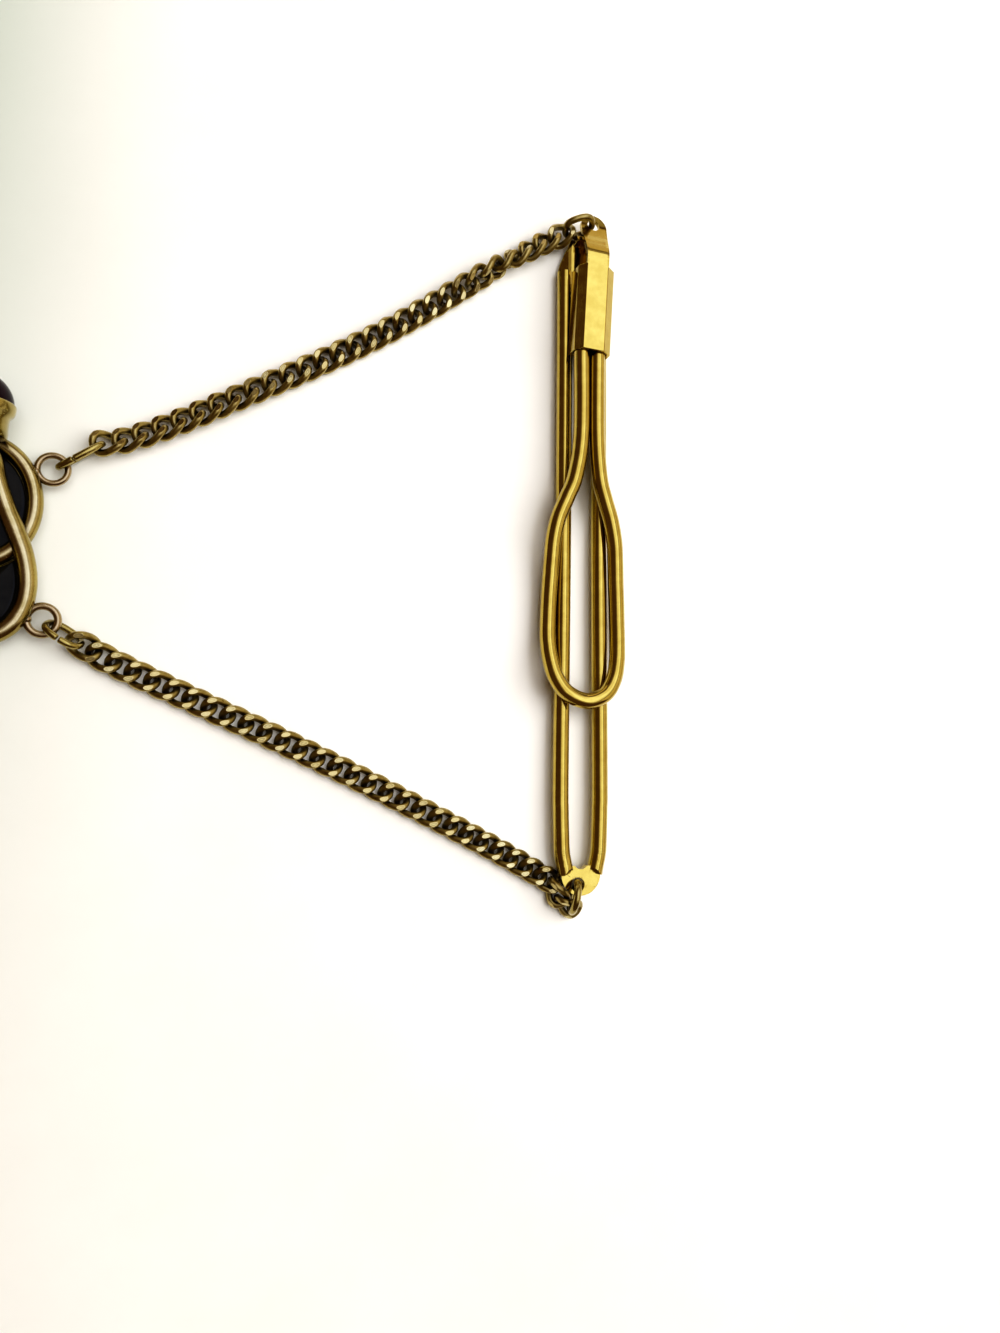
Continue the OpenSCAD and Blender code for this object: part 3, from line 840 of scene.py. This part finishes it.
# Ornament
KNOT_X = -49.05
ROUND_MIDDLE = (KNOT_X, 30.45)
ROUND_HALF = (3.86, 4.62)
ROUND_Z = 1.15
ROUND_WIRE, PEAR_WIRE = 1.25, 1.40
KNOT_SIDES = 32
# X from the knot's middle line, Y and Z of the pear-shaped loop's right side
PEAR = [(0, 34.4, 2.05), (0.95, 33.55, 2.15), (1.45, 31.7, 2.25), (2.14, 29.7, 2.3), (2.84, 28.03, 2.2),
        (3.33, 26.65, 1.9), (3.605, 25.2, 1.6), (3.645, 23.75, 1.5), (3.35, 22.28, 1.5), (2.63, 21.03, 1.5),
        (1.52, 20.27, 1.5), (0, 19.975, 1.5)]
BACK_INSET, BACK_HIGH = 0.2, 0.85
# Radius and Y of the cup's outside and lip, about a line at CUP_Z
CUP = [(0.0, 34.9), (1.6, 34.9), (2.0, 35.0), (2.06, 35.8), (2.14, 36.5), (2.42, 36.82), (2.53, 37.15),
       (2.55, 37.38), (2.52, 37.47), (2.46, 37.5), (2.425, 37.4), (2.42, 37.0), (2.42, 36.9)]
CUP_Z = 5.10 / 2 + 0.01
ALONG_Y = turn_x(-90)
BOSS_MIDDLE, BOSS_RADIUS = (KNOT_X, 25, 2.3), 1.5
# Middle and wire radius of the two small rings, then middle and radius of the solder at them
SMALL_RINGS = [((-44.08, 33.31, 1.0), 0.25), ((-44.3, 21.5, 1.3), 0.29)]
SMALL_RING_RADIUS = 1.1
SOLDER = [((-45.25, 33.0, 1.0), 0.36), ((-45.4, 21.55, 1.3), 0.38), ((-45.2, 32.6, 1.0), 0.3),
          ((-45.3, 22.2, 1.3), 0.28)]
SILVER = 0.8
STONE_LOW, STONE_EDGE, STONE_TOP = 0.9, 1.06, 1.36
BEAD_Y, BEAD_FROM, BEAD_RADIUS = 37.5, 36.94, 2.4


def ellipse(half, start, end, count):
    """Points round the round loop's middle, from start degrees up to but not at end degrees."""
    t = np.radians(np.linspace(start, end, count, endpoint=False))
    return np.c_[ROUND_MIDDLE[0] + half[0] * np.cos(t), ROUND_MIDDLE[1] + half[1] * np.sin(t)]


def round_outline(grow, start, end, count):
    return ellipse((ROUND_HALF[0] + grow, ROUND_HALF[1] + grow), start, end, count)


def pear_path(steps):
    right = [(KNOT_X + x, y, z) for x, y, z in PEAR]
    left = [(KNOT_X - x, y, z) for x, y, z in PEAR[-2:0:-1]]
    return catmull(right + left, steps, closed=True)


def inset(outline, depth):
    """The outline moved inwards."""
    p = np.asarray(outline, float)[:, :2]
    t = np.roll(p, -1, 0) - np.roll(p, 1, 0)
    t /= np.linalg.norm(t, axis=1)[:, None]
    return p + depth * np.c_[t[:, 1], -t[:, 0]]


def ball(middle, radius, rings, sides):
    profile = [(radius * math.sin(a), -radius * math.cos(a)) for a in np.linspace(0, math.pi, rings)]
    return lathe(profile, middle, np.eye(3), sides)


def make_ornament():
    """The two loops, the plate behind each, the cup, the boss, and the small rings with their solder."""
    parts = Parts()
    height = np.sin(2 * np.pi * np.arange(KNOT_SIDES) / KNOT_SIDES)
    # the top strip of each loop wire, where the painted highlight goes
    crown = np.clip((height - 0.72) / 0.28, 0, 1)
    circle = round_outline(0, 0, 360, 160)
    pear = pear_path(12)
    for line, wire in ((np.c_[circle, np.full(len(circle), ROUND_Z)], ROUND_WIRE), (pear, PEAR_WIRE)):
        v, f = sweep(line, wire / 2, KNOT_SIDES, closed=True)
        parts.add(v, f, worn=np.tile(crown, len(line)))
    for outline in (round_outline(-BACK_INSET, 0, 360, 96), inset(pear_path(6), BACK_INSET)):
        parts.add(*prism(outline.tolist(), 0, BACK_HIGH))
    parts.add(*lathe([tuple(p) for p in catmull(CUP, 4)], (KNOT_X, 0, CUP_Z), ALONG_Y, 96))
    parts.add(*ball(BOSS_MIDDLE, BOSS_RADIUS, 40, 64))
    for middle, wire in SMALL_RINGS:
        parts.add(*sweep(circle_line(SMALL_RING_RADIUS, 80) + middle, wire, 24, closed=True), silver=SILVER)
    for middle, size in SOLDER:
        parts.add(*ball(middle, size, 16, 24), silver=SILVER)
    return parts


DOME_RINGS = 14


def dome(outline, middle):
    """A low polished dome over an outline, with a short wall under it."""
    p = np.asarray(outline, float)
    n = len(p)
    middle = np.asarray(middle, float)
    v = [np.c_[p, np.full(n, STONE_LOW)]]
    for k in range(DOME_RINGS + 1):
        s = k / (DOME_RINGS + 1)
        rise = (STONE_TOP - STONE_EDGE) * (1 - (1 - s) ** 3) ** 0.8
        v.append(np.c_[middle + (p - middle) * (1 - s), np.full(n, STONE_EDGE + rise)])
    v = np.concatenate(v + [[[middle[0], middle[1], STONE_TOP]]])
    f = []
    for i in range(DOME_RINGS + 1):
        for k in range(n):
            m = (k + 1) % n
            f.append((i * n + k, i * n + m, (i + 1) * n + m, (i + 1) * n + k))
    last = (DOME_RINGS + 1) * n
    f += [(last + k, last + (k + 1) % n, len(v) - 1) for k in range(n)]
    f.append(tuple(range(n - 1, -1, -1)))
    return v, f


def make_stone_upper():
    return Parts().add(*dome(round_outline(-0.66, 0, 360, 96), ROUND_MIDDLE))


def make_stone_lower():
    """The pear-shaped loop's opening, less what the round loop covers of it."""
    clear = 0.725
    outer = (ROUND_HALF[0] + clear, ROUND_HALF[1] + clear)
    ring = inset(pear_path(12), 0.74)
    away = (ring - ROUND_MIDDLE) / outer
    ring = ring[np.hypot(away[:, 0], away[:, 1]) > 1]
    x, y = (ring[0] - ROUND_MIDDLE) / outer
    a = math.degrees(math.atan2(y, x))
    outline = np.concatenate([ring, round_outline(clear, -180 - a + 3, a - 1, 24)])
    return Parts().add(*dome(outline, (KNOT_X, 22.8)))


def make_bead():
    start = math.asin((BEAD_FROM - BEAD_Y) / BEAD_RADIUS)
    profile = [(0, BEAD_FROM)] + [(BEAD_RADIUS * math.cos(a), BEAD_Y + BEAD_RADIUS * math.sin(a))
                                  for a in np.linspace(start, math.pi / 2, 40)]
    return Parts().add(*lathe(profile, (KNOT_X, 0, CUP_Z), ALONG_Y, 96))


# The pieces
PIECES = {
    "back_loop_wire": (make_back_loop(), ["back_loop"], "bright_gold", GOLD),
    "front_loop_wire": (make_front_loop(), ["front_loop"], "bright_gold", GOLD),
    "ferrule_sleeve": (make_ferrule(), ["ferrule"], "bright_gold", GOLD),
    "end_link_ring": (make_end_link(), ["end_link"], "aged_brass", LINKS),
    "chain_upper_links": (make_chain(UPPER), ["chain_upper"], "aged_brass", LINKS),
    "chain_lower_links": (make_chain(LOWER), ["chain_lower"], "aged_brass", LINKS),
    "jump_ring_wire": (make_jump_ring(), ["jump_ring"], "aged_brass", KNOT),
    "connector_upper_wire": (make_connector_upper(), ["connector_upper"], "aged_brass", KNOT),
    "connector_lower_wire": (make_connector_lower(), ["connector_lower"], "aged_brass", KNOT),
    "ornament_knot": (make_ornament(), ["ornament"], "aged_brass", KNOT),
    "stone_upper_dome": (make_stone_upper(), ["stone_upper"], "black_stone", STONE),
    "stone_lower_dome": (make_stone_lower(), ["stone_lower"], "black_stone", STONE),
    "bead_stone": (make_bead(), ["bead"], "dark_bead", BEAD),
}
made = {name: mesh_piece(name, parts, nodes, material)
        for name, (parts, nodes, slot, material) in PIECES.items()}


# Painted shade for the metal: how shut in each point is, which the materials turn into darker colour
SHADE_REACH = 0.0009
SHADE_RAYS = 18


def paint_occlusion_shade(objects):
    """Writes how shut in each point is by the metal around it, as a point attribute from which the materials
    paint shade into the colour.
    """
    points, faces, n = [], [], 0
    for ob in objects:
        points += [x.co[:] for x in ob.data.vertices]
        faces += [tuple(i + n for i in p.vertices) for p in ob.data.polygons]
        n += len(ob.data.vertices)
    tree = BVHTree.FromPolygons(points, faces)
    k = np.arange(SHADE_RAYS) + 0.5
    up = np.sqrt(1 - k / SHADE_RAYS * 0.97)
    a = np.pi * (1 + 5 ** 0.5) * k
    local = np.c_[np.sqrt(1 - up ** 2) * np.cos(a), np.sqrt(1 - up ** 2) * np.sin(a), up]
    for ob in objects:
        values = np.zeros(len(ob.data.vertices))
        for i, x in enumerate(ob.data.vertices):
            normal = x.normal
            side = normal.orthogonal().normalized()
            other = normal.cross(side)
            start = x.co + normal * 2e-6
            hit = 0.0
            for u, w, z in local:
                found = tree.ray_cast(start, side * u + other * w + normal * z, SHADE_REACH)
                if found[0] is not None:
                    hit += 1 - 0.6 * found[3] / SHADE_REACH
            values[i] = hit / SHADE_RAYS
        ob.data.attributes.new("hollow", "FLOAT", "POINT").data.foreach_set("value", values)


paint_occlusion_shade([made[n] for n in made if made[n].data.materials[0] not in (STONE, BEAD)])


# Surface and light
FLOOR_HALF = 0.6
WORLD_COLOUR, WORLD_STRENGTH = (1.0, 0.58, 0.30, 1), 0.11


def make_floor():
    me = bpy.data.meshes.new("floor")
    s = FLOOR_HALF
    me.from_pydata([(-s, -s, 0), (s, -s, 0), (s, s, 0), (-s, s, 0)], [], [(0, 1, 2, 3)])
    ob = bpy.data.objects.new("floor", me)
    bpy.context.scene.collection.objects.link(ob)
    me.materials.append(pale_floor())


def soft_light(name, from_x, from_y, distance, half_x, half_y, radiance, colour, gloss=True, wash=True):
    """A rectangle of light that faces the object, square to X and Y.

    from_x and from_y are its place and half_x and half_y its half widths, in degrees off straight above.
    gloss says whether the metal mirrors it, and wash whether it lights what is matt.
    """
    data = bpy.data.lights.new(name, "AREA")
    size_x, size_y = (2 * distance * math.tan(math.radians(a)) for a in (half_x, half_y))
    data.shape, data.size, data.size_y = "RECTANGLE", size_x, size_y
    data.energy, data.color = radiance * math.pi * size_x * size_y, colour
    ob = bpy.data.objects.new(name, data)
    bpy.context.scene.collection.objects.link(ob)
    ob.visible_glossy, ob.visible_diffuse = gloss, wash
    way = Vector((math.tan(math.radians(from_x)), math.tan(math.radians(from_y)), 1)).normalized()
    across = (Vector((1, 0, 0)) - way * way.x).normalized()
    ob.matrix_world = Matrix.Translation(way * distance) @ \
        Matrix((across, way.cross(across), way)).transposed().to_4x4()


def make_light():
    world = bpy.data.worlds.new("studio")
    world.use_nodes = True
    world.node_tree.nodes["Background"].inputs["Color"].default_value = WORLD_COLOUR
    world.node_tree.nodes["Background"].inputs["Strength"].default_value = WORLD_STRENGTH
    bpy.context.scene.world = world
    soft_light("key", 15, 16, 0.5, 24, 36, 0.66, (1.0, 1.08, 1.38), wash=False)
    soft_light("key_core", 24, 16, 0.49, 6, 34, 0.25, (1.0, 1.35, 2.4), wash=False)
    soft_light("above", 3, 10, 0.5, 20, 20, 1.65, (1, 0.985, 0.95), gloss=False)
    soft_light("key_wide", 17, 14, 0.52, 40, 46, 0.25, (1.0, 0.98, 0.95))
    soft_light("right", 68, 12, 0.5, 20, 36, 0.50, (1.0, 0.92, 0.75))
    soft_light("behind", 22, 80, 0.5, 28, 10, 0.55, (1.0, 0.88, 0.65))
    soft_light("overhead", 37, 6, 0.5, 23, 25, 2.6, (1, 0.995, 0.985), gloss=False)


make_floor()
make_light()
bpy.context.scene.view_settings.view_transform = "Standard"
bpy.context.scene.view_settings.look = "High Contrast"
